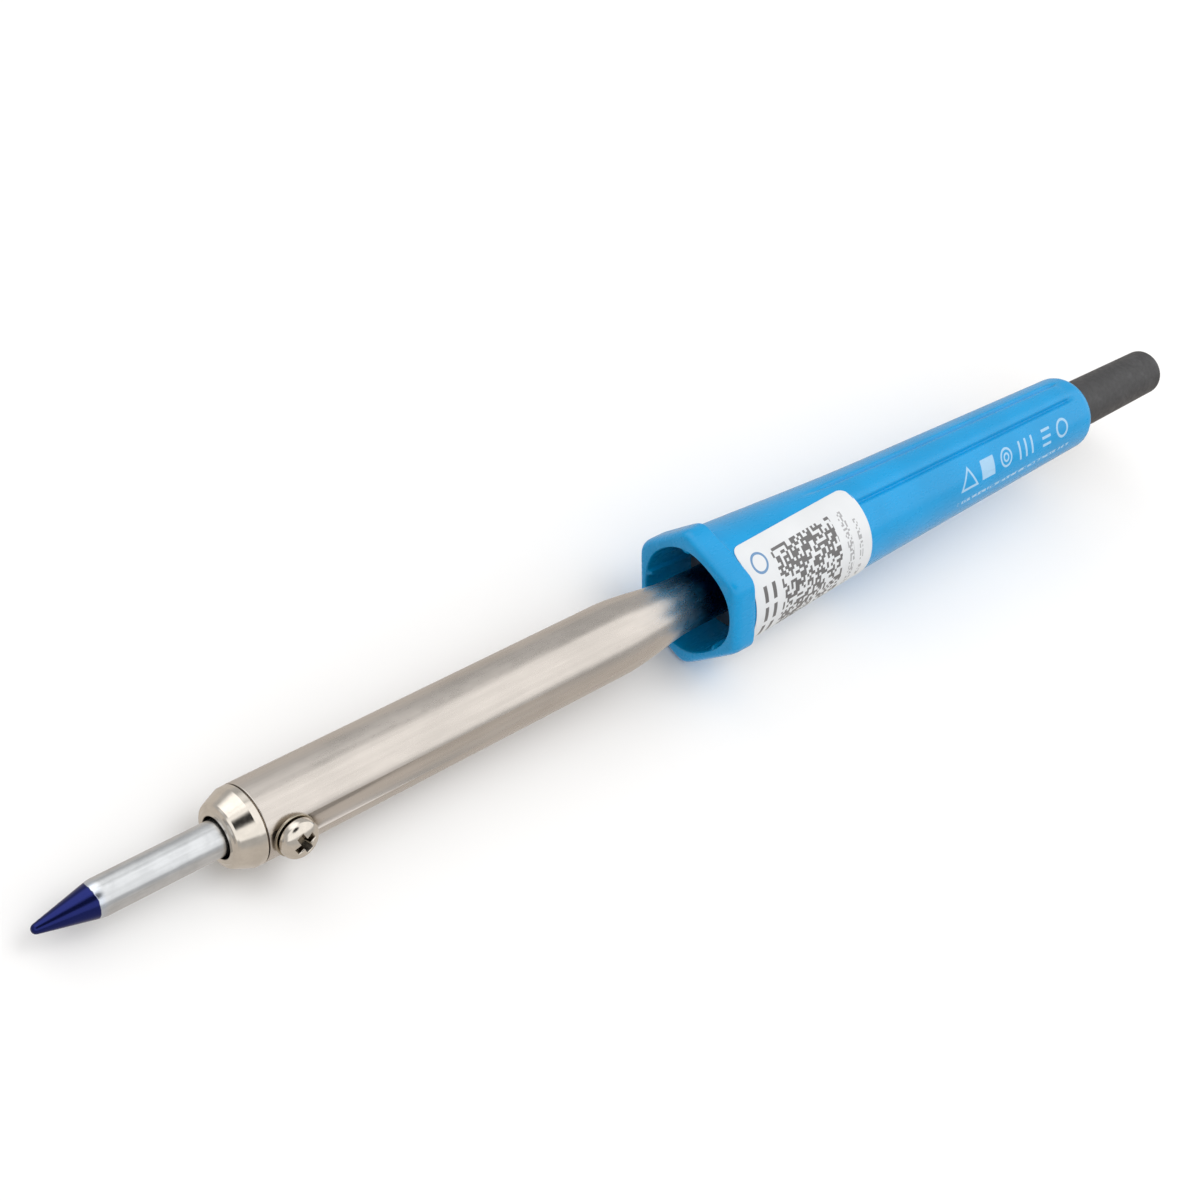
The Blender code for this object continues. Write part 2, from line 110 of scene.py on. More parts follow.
SCREW_X = 48.2
SCREW_R = 2.0
SCREW_HEAD_R = 4.0
SCREW_HEAD_H = 3.0
SCREW_HEAD_FILLET = 0.3
SCREW_POINT_R = SCREW_R * 0.75
SCREW_POINT_H = 0.4
WASHER_BASE = BARREL_R + GAP
WASHER_THICK = 0.5
WASHER_R = SCREW_HEAD_R + 0.3
WASHER_FILLET = 0.12
HEAD_BASE = WASHER_BASE + WASHER_THICK + GAP
CROWN_BASE = HEAD_BASE + 0.7
CROWN_H = SCREW_HEAD_H - 0.7
CROWN_POWER = 0.85
CROWN_STEPS = 14
CROSS_ANGLE = 62.0
# Depth under the top of the crown, length of an arm and half its width
CROSS_LEVELS = ((-1.0, 2.45, 0.9), (0.5, 2.2, 0.78), (1.8, 0.95, 0.5))

HANDLE_FRONT = 158.0
HANDLE_REAR = 299.5
GUARD_REAR = 163.9
# The flats of an outline: the angle each one faces, and its distance from the axis
GUARD_SIDES = {30.0: 15.1, 90.0: 14.9, 150.0: 15.1, 210.0: 13.8, 270.0: 14.4, 330.0: 13.8}
GUARD_SHARPNESS = 18
GUARD_RIM_DEPTH = 2.5
GUARD_RIM_INSET = 1.4
GUARD_RIM_STEPS = 8
GUARD_STATIONS = (3.2, 4.4, GUARD_REAR - HANDLE_FRONT)
# Distance behind the guard, and the share of the guard's outline that is left there
GUARD_SHOULDER = ((0.2, 0.93), (0.45, 0.7), (0.7, 0.4), (1.0, 0.12), (1.3, 0.0))
TAPER_END = 212.0
TAPER_BLEND = 14.0
BODY_FRONT_R = 14.0
BODY_WAIST_R = 11.6
BODY_REAR_R = 9.4
BODY_START = GUARD_REAR + 2.5
BODY_END = HANDLE_REAR - 3.0
BODY_STEP = 2.0
BODY_FINE_FROM = 287.5
BODY_FINE_STEP = 1.0
HANDLE_END_ROUND = 2.8
HANDLE_END_STEPS = 8
HOLLOW_SIDES = {30.0: 12.6, 90.0: 12.2, 150.0: 13.3, 210.0: 11.7, 270.0: 12.2, 330.0: 11.7}
HOLLOW_SHARPNESS = 5
HOLLOW_FLOOR = 174.6
HOLLOW_DRAFT = 0.5
HOLLOW_STATIONS = (HOLLOW_FLOOR, 170.0, 166.0, 164.5, 163.0, 161.5, 160.0, 159.2,
                   HANDLE_FRONT + 0.6)
# Distance behind the handle's front, and how far the hollow opens out there
HOLLOW_LIP = ((0.3, 0.06), (0.1, 0.2), (0.0, 0.45))
MAIN_RIB = 58.0
# Angle and height of each rib in the hollow
HOLLOW_RIBS = ((MAIN_RIB, 1.3), (196.0, 0.8), (344.0, 0.8), (270.0, 0.8))
RIB_FOOT = 4.5
RIB_TOP = 2.5
RIB_RUN_IN = 1.5
CAVITY_R = 7.6
CAVITY_REAR = 291.5
INLET_R = 6.6
INLET_CHAMFER = 0.3
BAND_ANGLES = (62.0, 99.0)
BAND_START = 200.0
BAND_END = 293.5
BAND_RUN_IN = (-6.0, 10.0)
BAND_RUN_OUT = 2.0
BAND_RISE = 0.2
BAND_EDGE = 4.0
GROOVE_DEPTH = 0.75
GROOVE_WIDTH = 0.6
# The angles that the handle's loops are drawn at: a coarse step, and the reach and the step
# of the finer ones at each groove and at the main rib
LOOP_STEP = 2.0
GROOVE_REACH, GROOVE_STEP = 6.0, 0.75
RIB_REACH, RIB_STEP = 5.0, 0.5

SLEEVE_FRONT = 289.2
SLEEVE_REAR = 336.4
SLEEVE_END_R = 5.85
SLEEVE_END_FILLET = 1.3
SLEEVE_BORE_R = 3.6
SLEEVE_MOUTH_R = SLEEVE_BORE_R + 0.3
SLEEVE_MOUTH_DEPTH = 0.4

LABEL_FRONT = 165.5
LABEL_REAR = 206.6
LABEL_ANGLES = (82.0, 241.0)
LABEL_LEAN = 1.8
LABEL_LEAN_CENTRE = 0.25
LABEL_LIFT = 0.06
LABEL_THICK = 0.12
LABEL_CORNER = 2.6
LABEL_CELLS = 110
# Millimetres to one unit of the label's flat coordinates
FLAT_UNIT = 100.0

JOINTS = {joint["name"]: joint for joint in frame["joints"]}


# The iron's own frame, read from its joints

def iron_frame():
    along = -Vector(JOINTS["bit_slide"]["axis"]).normalized()
    across = Vector((0.0, 1.0, 0.0))
    up = along.cross(across)
    origin = Vector(JOINTS["set_screw_turn"]["pos_m"]) - SCREW_X * MM * along
    turn = Matrix((along, across, up)).transposed().to_4x4()
    return Matrix.Translation(origin) @ turn


def screw_frame():
    """-X points out of the head, as in the CAD."""
    out = Vector(JOINTS["set_screw_turn"]["axis"]).normalized()
    along = IRON.to_3x3() @ Vector((1.0, 0.0, 0.0))
    turn = Matrix((-out, along, (-out).cross(along))).transposed().to_4x4()
    return Matrix.Translation(Vector(JOINTS["set_screw_turn"]["pos_m"])) @ turn


IRON = iron_frame()
SCREW = screw_frame()


# Meshes

def piece(name, bm, place, sharp_angle=SHARP_ANGLE):
    """Turns a bmesh drawn in millimetres into an object in the frame given by place.

    Recalculated normals can all point inwards in a deep shell, which its volume shows.
    """
    bmesh.ops.scale(bm, vec=(MM, MM, MM), verts=bm.verts)
    bmesh.ops.recalc_face_normals(bm, faces=bm.faces)
    if bm.calc_volume(signed=True) < 0.0:
        bmesh.ops.reverse_faces(bm, faces=bm.faces)
    mesh = bpy.data.meshes.new(name)
    bm.to_mesh(mesh)
    bm.free()
    mesh.shade_smooth()
    mesh.set_sharp_from_angle(angle=math.radians(sharp_angle))
    obj = bpy.data.objects.new(name, mesh)
    bpy.context.scene.collection.objects.link(obj)
    obj.matrix_world = place
    return obj


def stand_for(obj, body, slot_name, *nodes):
    obj.data.materials.append(MATERIALS[slot_name])
    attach(obj, body)
    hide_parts(*nodes)


def rounded(corners, steps=FILLET_STEPS):
    """A profile from (x, r) or (x, r, fillet) corners, with each fillet drawn as an arc.

    A point just past each end of an arc keeps the flats beside it flat in shading.
    """
    points = []
    for i, corner in enumerate(corners):
        here = Vector(corner[:2])
        fillet = corner[2] if len(corner) > 2 else 0.0
        if not fillet or i in (0, len(corners) - 1):
            points.append(here)
            continue
        back = (Vector(corners[i - 1][:2]) - here).normalized()
        on = (Vector(corners[i + 1][:2]) - here).normalized()
        half = back.angle(on) / 2
        reach = fillet / math.tan(half)
        centre = here + (back + on).normalized() * fillet / math.sin(half)
        first = here + back * reach - centre
        last = here + on * reach - centre
        points.append(here + back * (reach + EDGE_SUPPORT))
        for k in range(steps + 1):
            points.append(centre + first.slerp(last, k / steps).normalized() * fillet)
        points.append(here + on * (reach + EDGE_SUPPORT))
    return [tuple(p) for p in points]


def turned(profile, segments=ROUND_SEGMENTS):
    """A solid turned about X from (x, r) points: closed, or with both ends at r = 0."""
    bm = bmesh.new()
    verts = [bm.verts.new((x, 0.0, r)) for x, r in profile]
    edges = [bm.edges.new(pair) for pair in zip(verts, verts[1:])]
    if profile[0][1] > 0.0:
        edges.append(bm.edges.new((verts[-1], verts[0])))
    bmesh.ops.spin(bm, geom=verts + edges, cent=(0, 0, 0), axis=(1, 0, 0),
                   angle=2 * math.pi, steps=segments)
    bmesh.ops.remove_doubles(bm, verts=bm.verts, dist=MERGE_DISTANCE)
    return bm


def loft(rings):
    """Skins a closed run of point loops."""
    bm = bmesh.new()
    loops = [[bm.verts.new(p) for p in points] for points in rings]
    count = len(rings[0])
    for a, b in zip(loops, loops[1:] + loops[:1]):
        for i in range(count):
            j = (i + 1) % count
            bm.faces.new((a[i], a[j], b[j], b[i]))
    return bm


def cut(obj, bm):
    """Cuts a bmesh, drawn in the object's own frame in millimetres, out of the object."""
    tool = piece("cutter_" + obj.name, bm, obj.matrix_world.copy())
    modifier = obj.modifiers.new("cut", "BOOLEAN")
    modifier.operation = "DIFFERENCE"
    modifier.solver = "EXACT"
    modifier.object = tool
    graph = bpy.context.evaluated_depsgraph_get()
    made = bpy.data.meshes.new_from_object(obj.evaluated_get(graph))
    obj.modifiers.remove(modifier)
    obj.data = made
    bpy.data.objects.remove(tool)


def smoothstep(low, high, value):
    t = min(max((value - low) / (high - low), 0.0), 1.0)
    return t * t * (3 - 2 * t)


def round_point(x, radius, angle):
    a = math.radians(angle)
    return (x, radius * math.cos(a), radius * math.sin(a))


def body_radius(x):
    """Radius of the handle behind the finger guard: a taper, then a slimmer grip."""
    taper = (BODY_WAIST_R - BODY_FRONT_R) / (TAPER_END - GUARD_REAR)
    grip = (BODY_REAR_R - BODY_WAIST_R) / (HANDLE_REAR - TAPER_END)
    reach = min(max((x - TAPER_END + TAPER_BLEND) / (2 * TAPER_BLEND), 0.0), 1.0)
    eased = (grip - taper) * TAPER_BLEND * reach * reach
    if x > TAPER_END + TAPER_BLEND:
        return BODY_WAIST_R + grip * (x - TAPER_END)
    return BODY_WAIST_R + taper * (x - TAPER_END) + eased


def many_sided(angle, sides, sharpness):
    """Radius of a rounded outline with the given flats, as {facing angle: distance}."""
    total = 0.0
    for facing, distance in sides.items():
        lean = math.cos(math.radians(angle - facing))
        if lean > 0.0:
            total += (lean / distance) ** sharpness
    return total ** (-1.0 / sharpness)


def guard_radius(angle):
    return many_sided(angle, GUARD_SIDES, GUARD_SHARPNESS)


def band_depth(x, angle):
    """The shallow raised band along the top of the grip, with a groove down each side of it."""
    run_in = smoothstep(BAND_START + BAND_RUN_IN[0], BAND_START + BAND_RUN_IN[1], x)
    along = run_in * smoothstep(BAND_END, BAND_END - BAND_RUN_OUT, x)
    start, end = BAND_ANGLES
    groove = 0.0
    for edge in BAND_ANGLES:
        away = abs(angle - edge) * math.radians(1) * body_radius(x)
        groove += GROOVE_DEPTH * math.exp(-((away / GROOVE_WIDTH) ** 2))
    inside = smoothstep(start, start + BAND_EDGE, angle) * smoothstep(end, end - BAND_EDGE, angle)
    return along * (BAND_RISE * inside - groove)


def hollow_radius(angle, x):
    """The guard's hollow: drafted, with a few thin ribs inside."""
    rib = 0.0
    run_in = smoothstep(HANDLE_FRONT, HANDLE_FRONT + RIB_RUN_IN, x)
    for place, height in HOLLOW_RIBS:
        away = abs((angle - place + 180.0) % 360.0 - 180.0)
        rib += height * smoothstep(RIB_FOOT, RIB_TOP, away) * run_in
    draft = HOLLOW_DRAFT * smoothstep(HANDLE_FRONT, HOLLOW_FLOOR, x)
    return many_sided(angle, HOLLOW_SIDES, HOLLOW_SHARPNESS) - draft - rib


# Pieces

def make_bit():
    centre = BIT_POINT_CENTRE
    slope = math.atan2(BIT_R - BIT_POINT_SHOULDER_R, BIT_CONE - centre)
    profile = [(0.0, 0.0)]
    for k in range(1, BIT_POINT_STEPS + 1):
        a = math.pi - (math.pi / 2 - slope) * k / BIT_POINT_STEPS
        profile.append((centre + centre * math.cos(a), centre * math.sin(a)))
    shoulder = [profile[-1], (BIT_CONE, BIT_R, BIT_SHOULDER_FILLET), (BIT_SHOULDER_END, BIT_R)]
    profile = profile[:-1] + rounded(shoulder, FINE_FILLET_STEPS)
    profile += rounded([(BIT_SHANK_START, BIT_R), (BIT_LENGTH, BIT_R, BIT_END_FILLET),
                        (BIT_LENGTH, 0.0)])
    obj = piece("plated_bit", turned(profile), IRON)
    stand_for(obj, "bit", "bit", "soldering_bit")


def set_screw_hole(base):
    """The cutter for the set screw's hole, from the given distance off the axis outwards."""
    radius = SCREW_R + GAP
    profile = [(base, 0.0), (base, radius), (HOLE_TOP, radius), (HOLE_TOP, 0.0)]
    bm = turned(profile, HOLE_SEGMENTS)
    out = IRON.to_3x3().inverted() @ Vector(JOINTS["set_screw_turn"]["axis"]).normalized()
    turn = out.to_track_quat("X", "Z").to_matrix().to_4x4()
    bmesh.ops.transform(bm, matrix=Matrix.Translation((SCREW_X, 0, 0)) @ turn, verts=bm.verts)
    return bm


def make_collar():
    corners = [(SPIGOT_REAR, COLLAR_BORE_R)]
    corners += [(COLLAR_FRONT + back, radius, fillet) for back, radius, fillet in COLLAR_NOSE]
    corners += [(COLLAR_LAND, LAND_R, LAND_FILLET), (COLLAR_REAR, BARREL_R, EDGE_FILLET)]
    spigot = BARREL_R - BARREL_WALL - GAP
    corners += [(COLLAR_REAR, spigot), (SPIGOT_REAR, spigot)]
    obj = piece("polished_collar", turned(rounded(corners), COLLAR_SEGMENTS), IRON)
    cut(obj, set_screw_hole(COLLAR_HOLE_BASE))
    stand_for(obj, "iron", "collar_nickel", "nose_collar")


def swage_profile():
    """A smooth swage from the barrel's size to the neck's."""
    points = []
    for k in range(SWAGE_STATIONS):
        x = SWAGE_START - 1.0 + k
        points.append((x, BARREL_R + (NECK_R - BARREL_R) * smoothstep(SWAGE_START, SWAGE_END, x)))
    return points


def make_barrel():
    swage = swage_profile()
    rear = PLATE_REAR + GAP
    lip_rear = rear + LIP_THICK
    outer = rounded([(BARREL_FRONT, BARREL_R - BARREL_WALL),
                     (BARREL_FRONT, BARREL_R, EDGE_FILLET), (BARREL_FLAT_END, BARREL_R)])
    outer += swage + [(rear, NECK_R), (rear, LIP_R), (lip_rear, LIP_R)]
    inner = [(lip_rear, NECK_R - BARREL_WALL)] + [(x, r - BARREL_WALL) for x, r in swage[::-1]]
    obj = piece("satin_barrel", turned(outer + inner, BARREL_SEGMENTS), IRON)
    cut(obj, set_screw_hole(BARREL_HOLE_BASE))
    stand_for(obj, "iron", "barrel_nickel", "barrel_tube")


def cross_tool(top):
    """The cutter for the cross recess, tapered along X into a head of the given height."""
    bm = bmesh.new()
    loops = []
    for depth, arm, wide in CROSS_LEVELS:
        loop = []
        for quarter in range(4):
            a = math.radians(90 * quarter + CROSS_ANGLE)
            for y, z in ((arm, -wide), (arm, wide), (wide, wide)):
                loop.append(bm.verts.new((depth - top, y * math.cos(a) - z * math.sin(a),
                                          y * math.sin(a) + z * math.cos(a))))
        loops.append(loop)
    for a, b in zip(loops, loops[1:]):
        for i in range(len(a)):
            j = (i + 1) % len(a)
            bm.faces.new((a[i], a[j], b[j], b[i]))
    bm.faces.new(loops[0])
    bm.faces.new(loops[-1])
    return bm


def make_washer():
    hole = SCREW_R + GAP
    top = -WASHER_BASE - WASHER_THICK
    corners = [(-WASHER_BASE, hole), (-WASHER_BASE, WASHER_R, WASHER_FILLET),
               (top, WASHER_R, WASHER_FILLET), (top, hole, SMALL_FILLET), (-WASHER_BASE, hole)]
    washer = piece("plated_washer", turned(rounded(corners)[:-1]), SCREW)
    stand_for(washer, "washer", "fastener_nickel", "set_screw_washer")


def make_set_screw():
    profile = [(-SCREW_HEAD_H - HEAD_BASE, 0.0)]
    for k in range(1, CROWN_STEPS):
        a = math.pi / 2 * k / CROWN_STEPS
        lift = CROWN_H * math.cos(a) ** CROWN_POWER
        profile.append((-CROWN_BASE - lift, SCREW_HEAD_R * math.sin(a)))
    tip = -BIT_R - GAP
    profile += rounded([(-CROWN_BASE, SCREW_HEAD_R), (-HEAD_BASE, SCREW_HEAD_R, SCREW_HEAD_FILLET),
                        (-HEAD_BASE, SCREW_R, SMALL_FILLET), (tip - SCREW_POINT_H, SCREW_R),
                        (tip, SCREW_POINT_R), (tip, 0.0)])
    screw = piece("cross_head_screw", turned(profile), SCREW)
    cut(screw, cross_tool(HEAD_BASE + SCREW_HEAD_H))
    stand_for(screw, "screw", "fastener_nickel", "set_screw")


def grip_angles():
    """Angles round the handle, closer together at the grooves of the band and the main rib."""
    angles = {LOOP_STEP * k for k in range(int(360 / LOOP_STEP))}
    for edge in BAND_ANGLES:
        count = int(2 * GROOVE_REACH / GROOVE_STEP) + 1
        angles |= {round(edge - GROOVE_REACH + GROOVE_STEP * k, 3) for k in range(count)}
    count = int(2 * RIB_REACH / RIB_STEP) + 1
    angles |= {MAIN_RIB - RIB_REACH + RIB_STEP * k for k in range(count)}
    return sorted(angles)


def make_handle():
    """One closed skin: the guard and the grip outside, then the inlet, the cavity and the hollow."""
    angles = grip_angles()
    rings = []

    def add_loop(x, radius_at):
        rings.append([round_point(x, radius_at(a), a) for a in angles])

    def add_round_loop(x, radius):
        rings.append([round_point(x, radius, a) for a in angles])

    for k in range(GUARD_RIM_STEPS + 1):
        turn = math.pi / 2 * k / GUARD_RIM_STEPS
        inset = GUARD_RIM_INSET * (1 - math.sin(turn))
        add_loop(HANDLE_FRONT + GUARD_RIM_DEPTH * (1 - math.cos(turn)),
                 lambda a: guard_radius(a) - inset)
    for back in GUARD_STATIONS:
        add_loop(HANDLE_FRONT + back, guard_radius)
    for back, share in GUARD_SHOULDER:
        body_r = body_radius(GUARD_REAR + back)
        add_loop(GUARD_REAR + back, lambda a: body_r + share * (guard_radius(a) - body_r))
    x = BODY_START
    while x < BODY_END:
        add_loop(x, lambda a: body_radius(x) + band_depth(x, a))
        x += BODY_FINE_STEP if x > BODY_FINE_FROM else BODY_STEP
    round_x = HANDLE_REAR - HANDLE_END_ROUND
    round_r = body_radius(round_x) - HANDLE_END_ROUND
    for k in range(HANDLE_END_STEPS + 1):
        a = math.pi / 2 * (1 - k / HANDLE_END_STEPS)
        add_round_loop(round_x + HANDLE_END_ROUND * math.cos(a),
                       round_r + HANDLE_END_ROUND * math.sin(a))
    add_round_loop(HANDLE_REAR, INLET_R + INLET_CHAMFER)
    add_round_loop(HANDLE_REAR - INLET_CHAMFER, INLET_R)
    add_round_loop(CAVITY_REAR, INLET_R)
    add_round_loop(CAVITY_REAR, CAVITY_R)
    add_round_loop(HOLLOW_FLOOR, CAVITY_R)
    for x in HOLLOW_STATIONS:
        add_loop(x, lambda a: hollow_radius(a, x))
    for back, opening in HOLLOW_LIP:
        add_loop(HANDLE_FRONT + back, lambda a: hollow_radius(a, HANDLE_FRONT) + opening)
    obj = piece("moulded_handle", loft(rings), IRON, HANDLE_SHARP_ANGLE)
    stand_for(obj, "iron", "handle_plastic", "handle_shell")


def make_sleeve():
    neck = INLET_R - GAP
    flange = CAVITY_R - GAP
    corners = [(SLEEVE_FRONT, SLEEVE_BORE_R), (SLEEVE_FRONT, flange), (CAVITY_REAR - GAP, flange),
               (CAVITY_REAR - GAP, neck), (HANDLE_REAR + 1.0, neck),
               (SLEEVE_REAR, SLEEVE_END_R, SLEEVE_END_FILLET), (SLEEVE_REAR, SLEEVE_MOUTH_R, 0.2),
               (SLEEVE_REAR - SLEEVE_MOUTH_DEPTH, SLEEVE_BORE_R)]
    obj = piece("rubber_sleeve", turned(rounded(corners, FINE_FILLET_STEPS)), IRON)
    stand_for(obj, "iron", "sleeve_rubber", "strain_relief_sleeve")


def label_grid(bm, lift, height, places):
    """Adds one face of the label to bm and notes its verts' flat places. Returns its rim."""
    start, end = LABEL_ANGLES
    length = LABEL_REAR - LABEL_FRONT
    grid = []
    for i in range(LABEL_CELLS + 1):
        u = length * i / LABEL_CELLS
        near_end = min(u, length - u)
        inset = 0.0
        if near_end < LABEL_CORNER:
            inset = LABEL_CORNER - math.sqrt(LABEL_CORNER ** 2 - (LABEL_CORNER - near_end) ** 2)
        row = []
        for j in range(LABEL_CELLS + 1):
            v = inset + (height - 2 * inset) * j / LABEL_CELLS
            x = LABEL_FRONT + u + LABEL_LEAN * (v / height - LABEL_LEAN_CENTRE)
            angle = (start + end) / 2 + math.degrees((v - height / 2) / body_radius(x))
            vert = bm.verts.new(round_point(x, body_radius(x) + lift, angle))
            places[vert] = (u / FLAT_UNIT, v / FLAT_UNIT)
            row.append(vert)
        grid.append(row)
    for a, b in zip(grid, grid[1:]):
        for k in range(LABEL_CELLS):
            bm.faces.new((a[k], a[k + 1], b[k + 1], b[k]))
    rim = grid[0] + [row[-1] for row in grid[1:-1]]
    return rim + grid[-1][::-1] + [row[0] for row in grid[-2:0:-1]]


def make_label():
    """A thin film wrapped tight round the taper, with rounded corners and flat coordinates."""
    start, end = LABEL_ANGLES
    height = math.radians(end - start) * body_radius((LABEL_FRONT + LABEL_REAR) / 2)
    bm = bmesh.new()
    flat = bm.loops.layers.uv.new("flat")
    places = {}
    inner = label_grid(bm, LABEL_LIFT, height, places)
    outer = label_grid(bm, LABEL_LIFT + LABEL_THICK, height, places)
    for k in range(len(inner)):
        j = (k + 1) % len(inner)
        bm.faces.new((inner[k], inner[j], outer[j], outer[k]))
    for face in bm.faces:
        for loop in face.loops:
            loop[flat].uv = places[loop.vert]
    obj = piece("printed_label", bm, IRON)
    stand_for(obj, "iron", "label_film", "rating_label")


# Materials

# Painted shade and painted dark blue reflection on the barrel's neck inside the handle's hollow: its colour, where
# it starts, where it is full, and how ragged its edge is
NECK_SHADE = (0.012, 0.022, 0.05)
NECK_SHADE_START = 155.5
NECK_SHADE_FULL = 163.5
NECK_SHADE_RAGGED = 0.005
BORE_STAIN = (0.13, 0.10, 0.065)
# Painted shade over a brown oxide tone, for the washer and the shank under the screw's head
WASHER_OXIDE_AND_SHADE = (0.28, 0.23, 0.14)
# Painted shade, deepest at the bottom of the screw's cross recess
RECESS_SHADE = (0.12, 0.095, 0.06)
LACQUER_BLUES = ((0.011, 0.017, 0.115), (0.014, 0.021, 0.14))
LACQUER_RAGGED = 0.001
RIM_BLOOM = (0.62, 0.70, 0.84)
PRINT_BLUR = 0.03
GRIP_PRINT = (0.62, 0.78, 0.88)
GRIP_PRINT_SHARE = 0.55
GRIP_PRINT_R = 10.0
GRIP_ROW = (5.2, 9.8)
DASH_INK = (0.10, 0.09, 0.10)
BLACK_INK = (0.05, 0.045, 0.045)
BLUE_INK = (0.03, 0.19, 0.42)


class Nodes:
    """Builds one material's node tree round its Principled shader."""

    def __init__(self, name, colour, roughness, metallic=0.0, **sockets):
        self.material = bpy.data.materials.new(name)
        self.material.use_nodes = True
        self.tree = self.material.node_tree
        self.shader = self.tree.nodes["Principled BSDF"]
        self.shader.inputs["Base Color"].default_value = (*colour, 1.0)
        self.shader.inputs["Roughness"].default_value = roughness
        self.shader.inputs["Metallic"].default_value = metallic
        for socket, value in sockets.items():
            self.shader.inputs[socket.replace("_", " ")].default_value = value
        self.place = self.add("ShaderNodeTexCoord").outputs["Object"]
        self.last_bump = None

    def add(self, kind, **settings):
        made = self.tree.nodes.new(kind)
        for key, value in settings.items():
            setattr(made, key, value)
        return made

    def feed(self, socket, value):
        if isinstance(value, bpy.types.NodeSocket):
            self.tree.links.new(value, socket)
        else:
            socket.default_value = value

    def math(self, operation, *values, clamp=False):
        made = self.add("ShaderNodeMath", operation=operation, use_clamp=clamp)
        for socket, value in zip(made.inputs, values):
            self.feed(socket, value)
        return made.outputs[0]

    def xyz(self, vector=None):
        made = self.add("ShaderNodeSeparateXYZ")
        self.feed(made.inputs[0], vector or self.place)
        return made.outputs

    def stretched(self, scale):
        made = self.add("ShaderNodeMapping")
        self.feed(made.inputs["Vector"], self.place)
        made.inputs["Scale"].default_value = scale
        return made.outputs[0]

    def noise(self, scale, detail=3.0, rough=0.55, stretch=(1.0, 1.0, 1.0)):
        made = self.add("ShaderNodeTexNoise")
        self.feed(made.inputs["Vector"], self.stretched(stretch))
        made.inputs["Scale"].default_value = scale
        made.inputs["Detail"].default_value = detail
        made.inputs["Roughness"].default_value = rough
        return made.outputs["Fac"]

    def remap(self, value, low, high, to_low, to_high, kind="SMOOTHSTEP"):
        made = self.add("ShaderNodeMapRange", interpolation_type=kind)
        for socket, number in zip(made.inputs, (value, low, high, to_low, to_high)):
            self.feed(socket, number)
        return made.outputs[0]

    def mix(self, share, a, b):
        made = self.add("ShaderNodeMix", data_type="RGBA")
        self.feed(made.inputs[0], share)
        for socket, value in ((made.inputs[6], a), (made.inputs[7], b)):
            self.feed(socket, (*value, 1.0) if isinstance(value, tuple) else value)
        return made.outputs[2]

    def colour(self, value):
        self.feed(self.shader.inputs["Base Color"], value)

    def roughness(self, value):
        self.feed(self.shader.inputs["Roughness"], value)

    def sheen(self, noise, least, most):
        """An uneven sheen, with a roughness from least to most."""
        self.roughness(self.remap(noise, 0.3, 0.7, least, most, "LINEAR"))

    def tones(self, value, low, high, colour, dark, pale):
        """A darker to a paler shade of the colour, as value goes from low to high."""
        share = self.remap(value, low, high, 0.0, 1.0)
        return self.mix(share, shade(colour, dark), shade(colour, pale))

    def squared_sum(self, a, b):
        return self.math("ADD", self.math("POWER", a, 2.0), self.math("POWER", b, 2.0))

    def bump(self, height, distance):
        made = self.add("ShaderNodeBump")
        made.inputs["Distance"].default_value = distance
        self.feed(made.inputs["Height"], height)
        if self.last_bump:
            self.feed(made.inputs["Normal"], self.last_bump)
        self.last_bump = made.outputs[0]
        self.feed(self.shader.inputs["Normal"], self.last_bump)


def shade(colour, factor):
    return tuple(min(c * factor, 1.0) for c in colour)


def plain(name, colour, roughness, metallic=0.0, scale=900.0, spread=0.16, depth=0.00004, **sockets):
    """A surface with a fine grain, a slow change of tone and an uneven sheen."""
    n = Nodes(name, colour, roughness, metallic, **sockets)
    n.colour(n.mix(n.noise(scale / 9, 2.0), shade(colour, 1 - spread), shade(colour, 1 + spread)))
    n.sheen(n.noise(scale / 3, 3.0), roughness * 0.8, roughness * 1.2)
    n.bump(n.noise(scale, 4.0), depth)
    return n


def satin_nickel(name):
    """Nickel with fine lines along the barrel, and a painted dark blue shade and reflection where the neck is
    hidden in the handle's hollow.
    """
    colour = (0.66, 0.615, 0.57)
    n = Nodes(name, colour, 0.3, 1.0)
    lines = n.noise(900.0, 5.0, 0.6, (0.02, 1.0, 1.0))
    cloud = n.noise(110.0, 3.0, 0.6, (0.4, 1.0, 1.0))
    fine = n.noise(700.0, 4.0, 0.7, (0.5, 1.0, 1.0))
    tone = n.math("MULTIPLY_ADD", cloud, 0.6, n.math("MULTIPLY", lines, 0.4))
    nickel = n.tones(tone, 0.32, 0.68, colour, 0.88, 1.08)
    # Painted shade: the neck fades to a painted dark blue reflection inside the hollow
    ragged = n.math("MULTIPLY_ADD", n.noise(420.0, 4.0, 0.7), NECK_SHADE_RAGGED, n.xyz()[0])
    stain_and_shade = n.remap(ragged, NECK_SHADE_START * MM, NECK_SHADE_FULL * MM, 0.0, 1.0)
    n.colour(n.mix(stain_and_shade, nickel, NECK_SHADE))
    n.roughness(n.remap(n.math("ADD", fine, cloud), 0.7, 1.3, 0.22, 0.34, "LINEAR"))
    n.bump(lines, 0.000012)
    n.bump(fine, 0.00001)
    n.bump(n.noise(150.0, 2.0, 0.5, (0.25, 1.0, 1.0)), 0.00008)
    return n.material


def polished_nickel(name, roughness):
    """The node tree of the polished plating, with the plated colour for further mixing."""
    colour = (0.74, 0.69, 0.62)
    n = Nodes(name, colour, roughness, 1.0)
    plated = n.tones(n.noise(300.0, 3.0, 0.6), 0.35, 0.65, colour, 0.93, 1.03)
    n.sheen(n.noise(900.0, 4.0), roughness * 0.7, roughness * 1.5)
    n.bump(n.noise(500.0, 2.0), 0.000012)
    return n, plated


